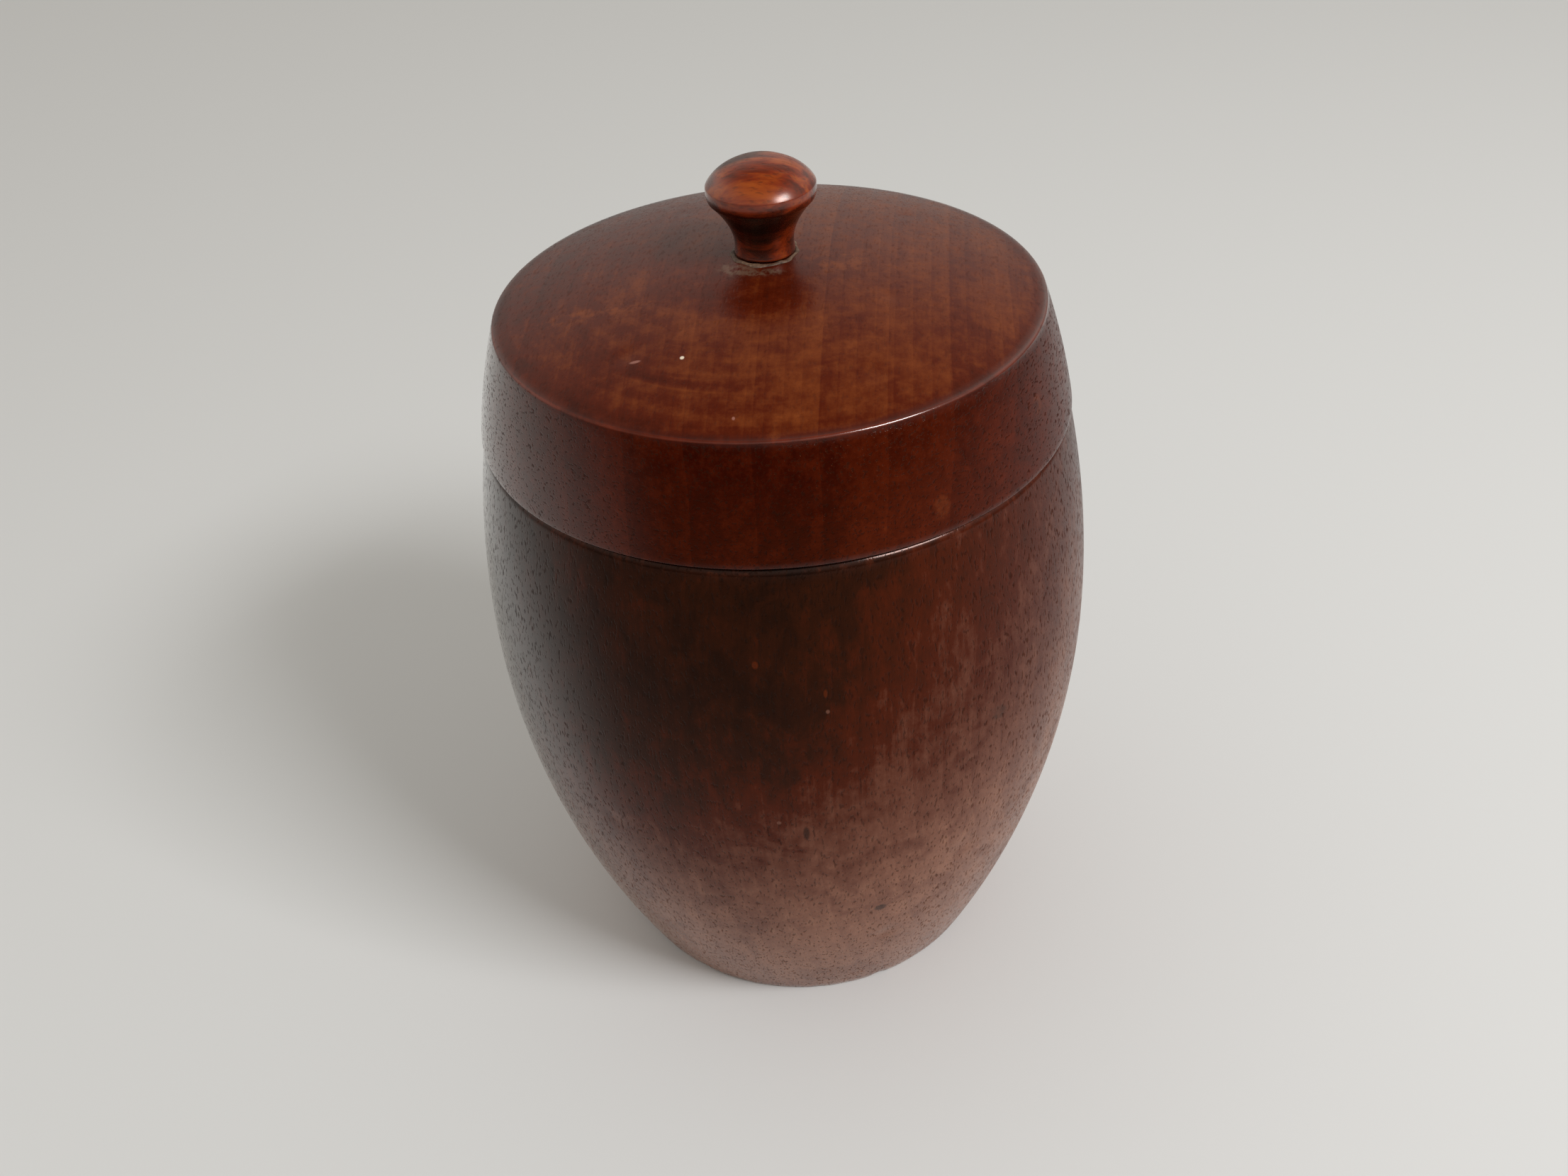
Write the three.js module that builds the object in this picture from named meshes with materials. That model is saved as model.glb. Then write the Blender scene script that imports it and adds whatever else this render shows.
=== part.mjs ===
// A small turned wooden pot: a barrel-shaped body hollowed on the lathe, and a lift-off lid that
// drops over a collar round the mouth. A mushroom knob is glued into the lid by its tenon.
// Everything is turned, so each piece is a profile revolved about +Z. Units are millimetres,
// radii are measured from the turning axis, and the pot stands on z = 0.
import * as THREE from 'three';

// Outside of the barrel
const shoulderHeight = 114.6;
const footRadius = 38;
const bellyRadius = 55;
const bellyHeight = 73.5;
const shoulderRadius = 50.3;
const lowerFullness = 1.9; // power of the curve from the foot up to the belly
const upperFullness = 2.05; // power of the curve from the belly up to the shoulder

// Hollow of the barrel and its mouth
const wall = 6;
const floorThickness = 9;
const floorCove = 8; // radius between the inside wall and the floor
const seatWidth = 5.2; // ledge that the lid rests on
const collarHeight = 8;
const collarWall = 3.6;
const throatLength = 24; // height over which the hollow draws in to the mouth
const throatLand = 2; // straight part of the mouth below the shoulder

// Underside, hollowed a little so that the pot stands on a ring
const restRingWidth = 4.2;
const recessDepth = 1.4;
const recessSlope = 2.5;

// Lid
const lidSideHeight = 18.8;
const lidOverhang = 0.5; // how far the lid's lower edge stands proud of the shoulder
const lidTaper = 5; // how far the side draws in from the lower edge to the arris
const lidSwell = 0.4; // crown of the side between its two edges
const domeRise = 7.8;
const lidThickness = 9; // the ceiling follows the dome
const ledgeWidth = 4; // flat ring under the lid, over the end of the collar
const ceilingCove = 2;

// Knob
const knobHeight = 15.5;
const headRadius = 8.9;
const widestHeight = 10.6; // where the band round the head is widest
const domeEdgeRadius = 8.85; // crisp edge between the band and the dome above it
const domeEdgeHeight = 11.6;
const domeCentreDrop = 2.7; // from that edge down to the centre of the dome's ellipse
const bandFootRadius = 8.6; // lower end of the band, where the underside draws in
const bandFootHeight = 9;
const bandFullness = 2.3; // power of the band's curve away from its widest
const neckRadius = 4.85;
const neckHeight = 1.6;
const knobFootRadius = 5;
const coveSweep = 1.85; // power of the curve from the neck out to the band
const tenonRadius = 3.4;
const tenonLength = 6.5;
const tenonChamfer = 0.6;

// Bead of old glue pressed out round the knob's foot
const beadWidth = 1.5;
const beadHeight = 0.7;

// Clearances and edges
const seatGap = 0.3; // lid on its seat, knob on the lid
const slipFit = 0.3; // between the collar and the lid's rebate, on the radius
const headroom = 0.5; // above the collar, so that the lid lands on the shoulder first
const glueLine = 0.3; // round the tenon, under it, and round the bead
const softEdge = 0.8; // foot of the pot and top of the collar
const crispEdge = 0.4; // arris and lower edge of the lid
const shoulderEdge = 0.9; // shoulder of the pot, which catches the light below the lid
const innerCorner = 0.5; // the tool's own corner at the root of the collar and of the rebate

// Fineness of the facets
const bodySegments = 60;
const knobSegments = 32;
const lowerSteps = 8;
const upperSteps = 5;
const throatSteps = 6;
const hollowSteps = 8;
const lidSideSteps = 5;
const domeSteps = 5;
const ceilingSteps = 4;
const coveSteps = 9;
const bandSteps = 4;
const headSteps = 7;
const cornerSteps = 2;
const coveCornerSteps = 5;

const point = (radius, height) => new THREE.Vector2(radius, height);

// The corner of a profile, rounded by an arc that touches both of the straight legs.
function rounded(before, corner, after, radius, steps = cornerSteps) {
  const toBefore = before.clone().sub(corner).normalize();
  const toAfter = after.clone().sub(corner).normalize();
  const halfAngle = Math.acos(THREE.MathUtils.clamp(toBefore.dot(toAfter), -1, 1)) / 2;
  const reach = radius / Math.tan(halfAngle);
  const bisector = toBefore.clone().add(toAfter).normalize();
  const centre = corner.clone().addScaledVector(bisector, radius / Math.sin(halfAngle));
  const start = corner.clone().addScaledVector(toBefore, reach).sub(centre);
  const end = corner.clone().addScaledVector(toAfter, reach).sub(centre);
  const turn = Math.atan2(start.cross(end), start.dot(end));
  const origin = point(0, 0);
  return Array.from({ length: steps + 1 }, (_, i) =>
    start.clone().rotateAround(origin, (turn * i) / steps).add(centre));
}

// Points of a curve, where place(t) runs from t = 0 to t = 1.
function curve(steps, place) {
  return Array.from({ length: steps + 1 }, (_, i) => place(i / steps));
}

// A closed solid of revolution about +Z. The profile runs outwards below and inwards above.
function turnedPiece(name, profile, segments, material) {
  const geometry = new THREE.LatheGeometry(profile, segments);
  geometry.rotateX(Math.PI / 2);
  const mesh = new THREE.Mesh(geometry, material);
  mesh.name = name;
  return mesh;
}

// Outside radius of the barrel: it falls away from the belly as a power of the height, slowly
// upwards to the shoulder and further down to the narrower foot.
function barrelRadius(z) {
  const below = z < bellyHeight;
  const span = below ? bellyHeight : shoulderHeight - bellyHeight;
  const drop = bellyRadius - (below ? footRadius : shoulderRadius);
  const power = below ? lowerFullness : upperFullness;
  return bellyRadius - drop * Math.pow(Math.abs(z - bellyHeight) / span, power);
}

const collarRadius = shoulderRadius - seatWidth;
const mouthRadius = collarRadius - collarWall;
const collarTop = shoulderHeight + collarHeight;
const throatTop = shoulderHeight - throatLand;

// Inside radius of the barrel: one wall in from the outside, drawn in at the throat to the mouth.
function hollowRadius(z) {
  const following = barrelRadius(z) - wall;
  const drawnIn = THREE.MathUtils.smoothstep(z, throatTop - throatLength, throatTop);
  return THREE.MathUtils.lerp(following, mouthRadius, drawnIn);
}

// Pot: base ring, barrel, shoulder, collar and hollow
function potProfile() {
  const ringInner = point(footRadius - restRingWidth, 0);
  const recessEdge = point(ringInner.x - recessSlope, recessDepth);
  const footCorner = point(footRadius, 0);
  const footEdge = rounded(ringInner, footCorner, point(barrelRadius(softEdge), softEdge), softEdge);

  const curveStart = 2 * softEdge;
  const curveEnd = shoulderHeight - 2 * crispEdge;
  const outside = (from, to) => (t) => {
    const z = THREE.MathUtils.lerp(from, to, t);
    return point(barrelRadius(z), z);
  };
  const barrel = [
    ...curve(lowerSteps, outside(curveStart, bellyHeight)),
    ...curve(upperSteps, outside(bellyHeight, curveEnd)).slice(1),
  ];

  const shoulderCorner = point(shoulderRadius, shoulderHeight);
  const collarRoot = point(collarRadius, shoulderHeight);
  const collarOuter = point(collarRadius, collarTop);
  const collarInner = point(mouthRadius, collarTop);
  const mouthFoot = point(mouthRadius, throatTop);
  const shoulderArc = rounded(barrel.at(-1), shoulderCorner, collarRoot, shoulderEdge);
  const rootCorner = rounded(shoulderCorner, collarRoot, collarOuter, innerCorner);
  const collarOuterEdge = rounded(collarRoot, collarOuter, collarInner, softEdge);
  const collarInnerEdge = rounded(collarOuter, collarInner, mouthFoot, softEdge);

  // The wall is straight for its last short stretch, which the cove at the floor touches.
  const wallFoot = floorThickness + 1.5 * floorCove;
  const throatBottom = throatTop - throatLength;
  const inside = (from, to) => (t) => {
    const z = THREE.MathUtils.lerp(from, to, t);
    return point(hollowRadius(z), z);
  };
  const throat = curve(throatSteps, inside(throatTop, throatBottom));
  const hollow = curve(hollowSteps, inside(throatBottom, wallFoot)).slice(1);
  const wallEnd = hollow.at(-1);
  const slope = hollowRadius(wallFoot) - hollowRadius(wallFoot - 1);
  const floorCorner = point(wallEnd.x - slope * (wallFoot - floorThickness), floorThickness);
  const floorCentre = point(0, floorThickness);
  const floorEdge = rounded(wallEnd, floorCorner, floorCentre, floorCove, coveCornerSteps);

  return [
    point(0, recessDepth), recessEdge, ringInner, ...footEdge, ...barrel, ...shoulderArc,
    ...rootCorner, ...collarOuterEdge, ...collarInnerEdge, ...throat, ...hollow, ...floorEdge,
    floorCentre,
  ];
}

const lidRadius = shoulderRadius + lidOverhang;
const arrisRadius = lidRadius - lidTaper;
const rebateRadius = collarRadius + slipFit;
const rebateDepth = collarHeight + headroom - seatGap;
const lidTop = lidSideHeight + domeRise;
const socketRadius = tenonRadius + glueLine;
const socketDepth = tenonLength - seatGap + glueLine;

// Height of the lid's domed top above its lower edge.
function domeHeight(radius) {
  return lidSideHeight + domeRise * (1 - Math.pow(radius / arrisRadius, 2));
}

// Lid: dished ceiling, rebate for the collar, crowned side, domed top and the knob's socket
function lidProfile() {
  const ledgeInner = point(rebateRadius - ledgeWidth, rebateDepth);
  const ceiling = curve(ceilingSteps, (t) => {
    const radius = (ledgeInner.x - 2 * ceilingCove) * t;
    return point(radius, domeHeight(radius) - lidThickness);
  });
  const ceilingCorner = point(ledgeInner.x, domeHeight(ledgeInner.x) - lidThickness);
  const rebateCorner = point(rebateRadius, rebateDepth);
  const rimInner = point(rebateRadius, 0);
  const rimOuter = point(lidRadius, 0);
  const arris = point(arrisRadius, lidSideHeight);

  const coveRadius = Math.min(ceilingCove, 0.8 * (ceilingCorner.y - rebateDepth));
  const ceilingEdge = rounded(ceiling.at(-1), ceilingCorner, ledgeInner, coveRadius, coveCornerSteps);
  const rebateEdge = rounded(ledgeInner, rebateCorner, rimInner, innerCorner);
  const rimInnerEdge = rounded(rebateCorner, rimInner, rimOuter, crispEdge);

  const edgeShare = (2 * crispEdge) / lidSideHeight;
  const side = curve(lidSideSteps, (t) => {
    const up = THREE.MathUtils.lerp(edgeShare, 1 - edgeShare, t);
    return point(lidRadius - lidTaper * up + lidSwell * 4 * up * (1 - up), lidSideHeight * up);
  });
  const dome = curve(domeSteps, (t) => {
    const radius = THREE.MathUtils.lerp(arrisRadius - 2 * crispEdge, socketRadius, t);
    return point(radius, domeHeight(radius));
  });
  const rimOuterEdge = rounded(rimInner, rimOuter, side[0], crispEdge);
  const arrisEdge = rounded(side.at(-1), arris, dome[0], crispEdge);
  const socketFloor = lidTop - socketDepth;

  return [
    ...ceiling, ...ceilingEdge, ledgeInner, ...rebateEdge, ...rimInnerEdge, ...rimOuterEdge,
    ...side, ...arrisEdge, ...dome, point(socketRadius, socketFloor), point(0, socketFloor),
  ];
}

// Knob: tenon, foot, neck, cove, and a mushroom head with a band below its dome. Its height 0 is the underside of the foot.
function knobProfile() {
  const foot = curve(coveSteps / 3, (t) => {
    const narrowing = Math.sin((Math.PI / 2) * t);
    const radius = THREE.MathUtils.lerp(knobFootRadius, neckRadius, narrowing);
    return point(radius, neckHeight * t);
  });
  const cove = curve(coveSteps, (t) => point(
    THREE.MathUtils.lerp(neckRadius, bandFootRadius, Math.pow(t, coveSweep)),
    THREE.MathUtils.lerp(neckHeight, bandFootHeight, t),
  )).slice(1);
  const band = curve(bandSteps, (t) => {
    const z = THREE.MathUtils.lerp(bandFootHeight, domeEdgeHeight, t);
    const below = z < widestHeight;
    const reach = below ? widestHeight - bandFootHeight : domeEdgeHeight - widestHeight;
    const fall = headRadius - (below ? bandFootRadius : domeEdgeRadius);
    return point(headRadius - fall * Math.pow(Math.abs(z - widestHeight) / reach, bandFullness), z);
  }).slice(1);
  const domeCentre = domeEdgeHeight - domeCentreDrop;
  const semiHeight = knobHeight - domeCentre;
  const domeStart = Math.asin(domeCentreDrop / semiHeight);
  const semiWidth = domeEdgeRadius / Math.cos(domeStart);
  const dome = curve(headSteps, (t) => {
    const angle = THREE.MathUtils.lerp(domeStart, Math.PI / 2, t);
    return point(semiWidth * Math.cos(angle), domeCentre + semiHeight * Math.sin(angle));
  });
  const crown = point(0, knobHeight);

  return [
    point(0, -tenonLength), point(tenonRadius - tenonChamfer, -tenonLength),
    point(tenonRadius, -tenonLength + tenonChamfer), point(tenonRadius, 0),
    ...foot, ...cove, ...band, ...dome.slice(1, -1), crown,
  ];
}

// Glue bead: a low rounded ring that follows the dome round the foot of the knob
function beadProfile() {
  const inner = knobFootRadius + glueLine;
  const base = domeHeight(inner) + glueLine;
  const ring = curve(coveCornerSteps, (t) => {
    const angle = Math.PI * t;
    return point(inner + (beadWidth / 2) * (1 + Math.cos(angle)), base + beadHeight * Math.sin(angle));
  });
  return [...ring, ring[0].clone()];
}

const potWood = new THREE.MeshStandardMaterial({ color: 0x4a2a1e, roughness: 0.42, metalness: 0 });
const lidWood = new THREE.MeshStandardMaterial({ color: 0x5a3021, roughness: 0.4, metalness: 0 });
const knobWood = new THREE.MeshStandardMaterial({ color: 0x7a3a1a, roughness: 0.25, metalness: 0 });
const oldGlue = new THREE.MeshStandardMaterial({ color: 0x9a8474, roughness: 0.7, metalness: 0 });

const pot = turnedPiece('pot', potProfile(), bodySegments, potWood);
const lid = turnedPiece('lid', lidProfile(), bodySegments, lidWood);
const knob = turnedPiece('knob', knobProfile(), knobSegments, knobWood);
knob.position.z = lidTop + seatGap;
const glueBead = turnedPiece('glue_bead', beadProfile(), knobSegments, oldGlue);

const liftOffLid = new THREE.Group();
liftOffLid.add(lid, knob, glueBead);
liftOffLid.position.z = shoulderHeight + seatGap;

const deskPot = new THREE.Group();
deskPot.add(pot, liftOffLid);

export default deskPot;
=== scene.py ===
"""Desk pot: a turned wooden pot with a domed lid that lifts off by a small mushroom knob.

The pot stands on z = 0 and its turning axis is +Z. Outlines are pairs of radius and height in
millimetres, and every mesh is turned from one of them in metres. Materials read places and sizes
in metres.
"""

import bpy
import numpy as np
from mathutils import Matrix, Vector


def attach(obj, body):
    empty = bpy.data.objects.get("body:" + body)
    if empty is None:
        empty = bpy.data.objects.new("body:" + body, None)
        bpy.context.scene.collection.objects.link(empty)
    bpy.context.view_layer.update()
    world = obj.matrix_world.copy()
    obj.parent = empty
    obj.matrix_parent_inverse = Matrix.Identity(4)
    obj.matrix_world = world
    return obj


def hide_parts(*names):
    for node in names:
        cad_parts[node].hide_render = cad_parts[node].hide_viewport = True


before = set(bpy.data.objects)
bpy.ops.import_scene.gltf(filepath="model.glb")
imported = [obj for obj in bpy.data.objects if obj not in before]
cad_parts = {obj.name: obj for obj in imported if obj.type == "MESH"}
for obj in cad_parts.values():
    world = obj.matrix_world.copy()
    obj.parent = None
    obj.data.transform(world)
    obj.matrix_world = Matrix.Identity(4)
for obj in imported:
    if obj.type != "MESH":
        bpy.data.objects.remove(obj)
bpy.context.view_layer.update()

# Pot
# The barrel, turned and hollowed from one block of dark, close-grained, red-brown wood. The lid
# drops over the collar round its mouth, and it stands on a narrow ring round a shallow recess.
millimetre = 0.001
shoulder_height = 114.6
foot_radius = 38.0
belly_radius = 55.0
belly_height = 73.5
shoulder_radius = 50.3
lower_fullness = 1.9
upper_fullness = 2.05
pot_wall = 6.0
floor_height = 9.0
floor_cove = 8.0
seat_width = 5.2
collar_height = 8.0
collar_wall = 3.6
throat_length = 24.0
throat_land = 2.0
rest_ring = 4.2
recess_depth = 1.4
recess_slope = 2.5
soft_edge = 0.8
shoulder_edge = 1.8
inner_corner = 0.5
collar_radius = shoulder_radius - seat_width
mouth_radius = collar_radius - collar_wall
throat_top = shoulder_height - throat_land


def barrel_radius(z):
    """The outside falls away from the belly by a drop, times a power of the height's share of the
    way from the belly to the foot or to the shoulder."""
    below = z < belly_height
    span = np.where(below, belly_height, shoulder_height - belly_height)
    drop = np.where(below, belly_radius - foot_radius, belly_radius - shoulder_radius)
    power = np.where(below, lower_fullness, upper_fullness)
    return belly_radius - drop * (np.abs(z - belly_height) / span) ** power


def hollow_radius(z):
    """The inside lies one wall in from the outside, and is drawn in to the mouth along a smooth
    step of the height's share of the throat."""
    share = np.clip((z - throat_top + throat_length) / throat_length, 0, 1)
    step = share * share * (3 - 2 * share)
    return (1 - step) * (barrel_radius(z) - pot_wall) + step * mouth_radius


def straight(start, end, steps):
    """Evenly spaced points from start to end."""
    share = np.linspace(0, 1, steps + 1)[:, None]
    return (1 - share) * np.array(start, float) + share * np.array(end, float)


def rounded(before, corner, after, radius, steps):
    """Arc that touches both legs of a corner, about a centre on the line that halves its angle."""
    corner = np.array(corner, float)
    back = np.array(before, float) - corner
    onward = np.array(after, float) - corner
    back = back / np.hypot(*back)
    onward = onward / np.hypot(*onward)
    half = np.arccos(np.clip(back @ onward, -1, 1)) / 2
    middle = (back + onward) / np.hypot(*(back + onward))
    centre = corner + middle * radius / np.sin(half)
    start = corner + back * radius / np.tan(half) - centre
    end = corner + onward * radius / np.tan(half) - centre
    turn = np.arctan2(start[0] * end[1] - start[1] * end[0], start @ end)
    angle = turn * np.linspace(0, 1, steps + 1)
    r = start[0] * np.cos(angle) - start[1] * np.sin(angle)
    z = start[0] * np.sin(angle) + start[1] * np.cos(angle)
    return centre + np.stack([r, z], -1)


def joined(*runs):
    """The runs of an outline end to end, without points that repeat the one before."""
    points = np.concatenate(runs)
    step = np.hypot(*np.diff(points, axis=0).T)
    return points[np.concatenate([[True], step > 1e-4])]


def circle_of(segments):
    """Angles of a full circle in even steps, with the first not repeated at the end."""
    return np.linspace(0, 2 * np.pi, segments, endpoint=False)


def facing(outline):
    """Unit normals of an outline that runs outwards below and inwards above: the direction along
    it, turned a quarter."""
    along = np.gradient(outline, axis=0)
    along = along / np.maximum(np.hypot(*along.T), 1e-9)[:, None]
    return np.stack([along[:, 1], -along[:, 0]], -1)


def turned_grid(outline, segments, pressed):
    """Points of a turned surface in millimetres, one row for each angle and one column for each
    outline point. A point is first pushed in along its normal by pressed, then swung about the axis:
    x and y are its radius times the cosine and sine of the angle."""
    shape = outline[None] - pressed[..., None] * facing(outline)[None]
    angle = circle_of(segments)[:, None]
    r = np.maximum(shape[..., 0], 0)
    return np.stack([r * np.cos(angle), r * np.sin(angle), shape[..., 1]], -1)


def new_piece(name, points, faces):
    """An object with a smooth mesh of points in metres, and faces as lists of their numbers."""
    mesh = bpy.data.meshes.new(name)
    mesh.from_pydata(points, [], faces)
    mesh.polygons.foreach_set("use_smooth", np.ones(len(mesh.polygons), bool))
    mesh.update()
    piece = bpy.data.objects.new(name, mesh)
    bpy.context.scene.collection.objects.link(piece)
    return piece


def turned_piece(name, outline, segments, pressed, marks):
    """Closed mesh of a turned surface. Both ends of the outline are on the axis and become single
    points. Marks are named values from 0 to 1 for each outline point, kept for the material."""
    grid = turned_grid(outline, segments, pressed) * millimetre
    inner = grid[:, 1:-1]
    columns = inner.shape[1]
    first = np.array([0, 0, outline[0, 1] * millimetre])
    last = np.array([0, 0, outline[-1, 1] * millimetre])
    points = np.concatenate([inner.reshape(-1, 3), [first, last]])
    index = np.arange(segments * columns).reshape(segments, columns)
    beside = np.roll(index, -1, axis=0)
    quads = np.stack([index[:, :-1], beside[:, :-1], beside[:, 1:], index[:, 1:]], -1).reshape(-1, 4)
    low_pole = np.full(segments, len(points) - 2)
    high_pole = np.full(segments, len(points) - 1)
    low_fan = np.stack([low_pole, beside[:, 0], index[:, 0]], -1)
    high_fan = np.stack([high_pole, index[:, -1], beside[:, -1]], -1)
    piece = new_piece(name, points.tolist(), quads.tolist() + low_fan.tolist() + high_fan.tolist())
    for mark_name, values in marks.items():
        all_round = np.broadcast_to(values[1:-1], (segments, columns)).ravel()
        layer = piece.data.attributes.new(mark_name, "FLOAT", "POINT")
        layer.data.foreach_set("value", np.concatenate([all_round, values[[0, -1]]]).astype(np.float32))
    return piece


def wander(segments, seed, slowest, fastest):
    """Uneven value from 0 to 1 round the circle: the sum of sines of every whole number of waves
    from slowest to fastest, with drawn phases and weights."""
    chance = np.random.default_rng(seed)
    counts = np.arange(slowest, fastest + 1)
    phase = chance.uniform(0, 2 * np.pi, len(counts))
    weight = chance.uniform(0.4, 1.0, len(counts))
    total = (weight * np.sin(circle_of(segments)[:, None] * counts + phase)).sum(-1)
    return (total - total.min()) / np.ptp(total)


def near(outline, corner, width):
    """Bell curve of the distance of each outline point from a corner."""
    return np.exp(-((outline - np.array(corner)) ** 2).sum(-1) / width**2)


def worn_edge(outline, corner, width, depth, ragged):
    """How far wear presses a corner in: its depth, times the bell curve about the corner, times an
    uneven value for each angle."""
    return depth * near(outline, corner, width) * ragged[:, None]


def dents(outline, segments, places):
    """How far old knocks press a surface in: for each, its depth times a bell curve of the distance
    from its middle. A place is an angle in degrees, radius, height, width and depth in millimetres."""
    pressed = np.zeros((segments, len(outline)))
    grid = turned_grid(outline, segments, pressed)
    for angle, radius, height, width, depth in places:
        turn = np.radians(angle)
        middle = np.array([radius * np.cos(turn), radius * np.sin(turn), height])
        pressed += depth * np.exp(-((grid - middle) ** 2).sum(-1) / (0.5 * width) ** 2)
    return pressed


pot_recess_edge = (foot_radius - rest_ring - recess_slope, recess_depth)
pot_ring_inner = (foot_radius - rest_ring, 0)
pot_foot = (foot_radius, 0)
barrel_z = np.concatenate([
    np.linspace(2 * soft_edge, belly_height, 68),
    np.linspace(belly_height, shoulder_height - shoulder_edge, 44)[1:],
])
pot_barrel = np.stack([barrel_radius(barrel_z), barrel_z], -1)
pot_shoulder = (shoulder_radius, shoulder_height)
collar_root = (collar_radius, shoulder_height)
collar_outer = (collar_radius, shoulder_height + collar_height)
collar_inner = (mouth_radius, shoulder_height + collar_height)
mouth_foot = (mouth_radius, throat_top)
wall_foot = floor_height + 1.5 * floor_cove
inside_z = np.concatenate([
    np.linspace(throat_top, throat_top - throat_length, 20),
    np.linspace(throat_top - throat_length, wall_foot, 44)[1:],
])
pot_inside = np.stack([hollow_radius(inside_z), inside_z], -1)
inside_slope = hollow_radius(wall_foot) - hollow_radius(wall_foot - 1)
floor_corner = (pot_inside[-1, 0] - inside_slope * (wall_foot - floor_height), floor_height)
pot_floor_edge = rounded(pot_inside[-1], floor_corner, (0, floor_height), floor_cove, 14)
pot_outline = joined(
    straight((0, recess_depth), pot_recess_edge, 10),
    straight(pot_recess_edge, pot_ring_inner, 3),
    rounded(pot_ring_inner, pot_foot, pot_barrel[0], soft_edge, 8),
    pot_barrel,
    rounded(pot_barrel[-1], pot_shoulder, collar_root, shoulder_edge, 9),
    rounded(pot_shoulder, collar_root, collar_outer, inner_corner, 5),
    rounded(collar_root, collar_outer, collar_inner, soft_edge, 7),
    rounded(collar_outer, collar_inner, mouth_foot, soft_edge, 7),
    pot_inside,
    pot_floor_edge,
    straight(pot_floor_edge[-1], (0, floor_height), 14),
)

# Wear on the shoulder and the foot, and old knocks, press the surface in. It stays still near the
# axis, where the points of all angles meet.
pot_segments = 360
seat_chips = wander(pot_segments, seed=11, slowest=9, fastest=60) ** 6
foot_chips = wander(pot_segments, seed=12, slowest=7, fastest=50) ** 5
pot_seat_wear = worn_edge(pot_outline, pot_shoulder, width=0.8, depth=0.03, ragged=seat_chips)
pot_foot_wear = worn_edge(pot_outline, pot_foot, width=0.9, depth=0.35, ragged=foot_chips)
pot_knocks = dents(pot_outline, pot_segments, [
    (-73, 46.5, 24, 3.2, 0.22),
    (-58, 52.2, 45, 5.0, 0.12),
    (-101, 54.6, 80, 4.0, 0.10),
    (-31, 54.9, 69, 5.5, 0.12),
    (-128, 53.8, 57, 4.5, 0.12),
    (20, 52.5, 47, 4.0, 0.15),
    (95, 54.4, 64, 5.0, 0.14),
    (152, 51.6, 107, 3.6, 0.12),
])
pot_still_radius = 1.0
pot_pressed = (pot_seat_wear + pot_foot_wear + pot_knocks) * (pot_outline[:, 0] > pot_still_radius)

# The material reads where the wood is hidden, where it stands, and how near an edge is.
pot_under_height = 1.6
pot_under_inset = 0.6
pot_seat_margin = 0.1
collar_tip = np.argmin(np.hypot(*(pot_outline - collar_inner).T))
pot_is_inside = np.arange(len(pot_outline)) > collar_tip
pot_is_hidden = (pot_outline[:, 1] > shoulder_height - pot_seat_margin) & ~pot_is_inside
pot_is_low = pot_outline[:, 1] < pot_under_height
pot_marks = {
    "inside": pot_is_inside | pot_is_hidden,
    "under": pot_is_low & (pot_outline[:, 0] < foot_radius - pot_under_inset),
    "edge": np.maximum(near(pot_outline, pot_shoulder, 1.1), near(pot_outline, pot_foot, 1.3)),
}
pot = turned_piece("turned_pot", pot_outline, pot_segments, pot_pressed, pot_marks)


def paint(red, green, blue):
    """A colour from three numbers up to 255, made linear for the shader."""
    share = np.array([red, green, blue]) / 255
    linear = np.where(share <= 0.04045, share / 12.92, ((share + 0.055) / 1.055) ** 2.4)
    return (*linear, 1.0)


def connect(tree, node, sockets):
    """Links another node's output to each named socket, or sets a value on it."""
    for socket, value in sockets.items():
        if isinstance(value, bpy.types.NodeSocket):
            tree.links.new(value, node.inputs[socket])
        else:
            node.inputs[socket].default_value = value


def add(tree, kind, sockets=None, **settings):
    """One shader node with its settings and sockets."""
    node = tree.nodes.new("ShaderNode" + kind)
    for name, setting in settings.items():
        setattr(node, name, setting)
    connect(tree, node, sockets or {})
    return node


def sized(tree, place, size, turn=(0, 0, 0), centre=(0, 0, 0)):
    """Coordinates about a centre, turned, and divided by the size that one feature has: one number,
    or one for each axis."""
    sizes = (size, size, size) if np.isscalar(size) else size
    sockets = {"Vector": place, "Location": centre, "Rotation": turn, "Scale": sizes}
    return add(tree, "Mapping", sockets, vector_type="TEXTURE").outputs[0]


def cloud(tree, place, size, detail=3.0, rough=0.5, distortion=0.0, turn=(0, 0, 0), centre=(0, 0, 0)):
    """Soft noise about 0.5, with features of one size."""
    return add(tree, "TexNoise", {
        "Vector": sized(tree, place, size, turn, centre),
        "Scale": 1.0,
        "Detail": detail,
        "Roughness": rough,
        "Distortion": distortion,
    }).outputs[0]


def waves(tree, place, distortion, detail_scale, detail_roughness, **settings):
    """Waves from 0 to 1 made uneven by noise, each one unit long, which a scale of 0.314 gives."""
    return add(tree, "TexWave", {
        "Vector": place,
        "Scale": 0.314,
        "Distortion": distortion,
        "Detail": 3.0,
        "Detail Scale": detail_scale,
        "Detail Roughness": detail_roughness,
    }, **settings).outputs[1]


def spread(tree, value, low, high, start=0.0, end=1.0):
    """Smooth step of a value from low to high, given out as start to end."""
    sockets = {0: value, 1: low, 2: high, 3: start, 4: end}
    return add(tree, "MapRange", sockets, interpolation_type="SMOOTHSTEP").outputs[0]


def maths(tree, operation, *values):
    """One sum on one, two or three values."""
    return add(tree, "Math", dict(enumerate(values)), operation=operation).outputs[0]


def product(tree, first, *others):
    """All the values multiplied."""
    for other in others:
        first = maths(tree, "MULTIPLY", first, other)
    return first


def largest(tree, first, *others):
    """The largest of the values."""
    for other in others:
        first = maths(tree, "MAXIMUM", first, other)
    return first


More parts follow.
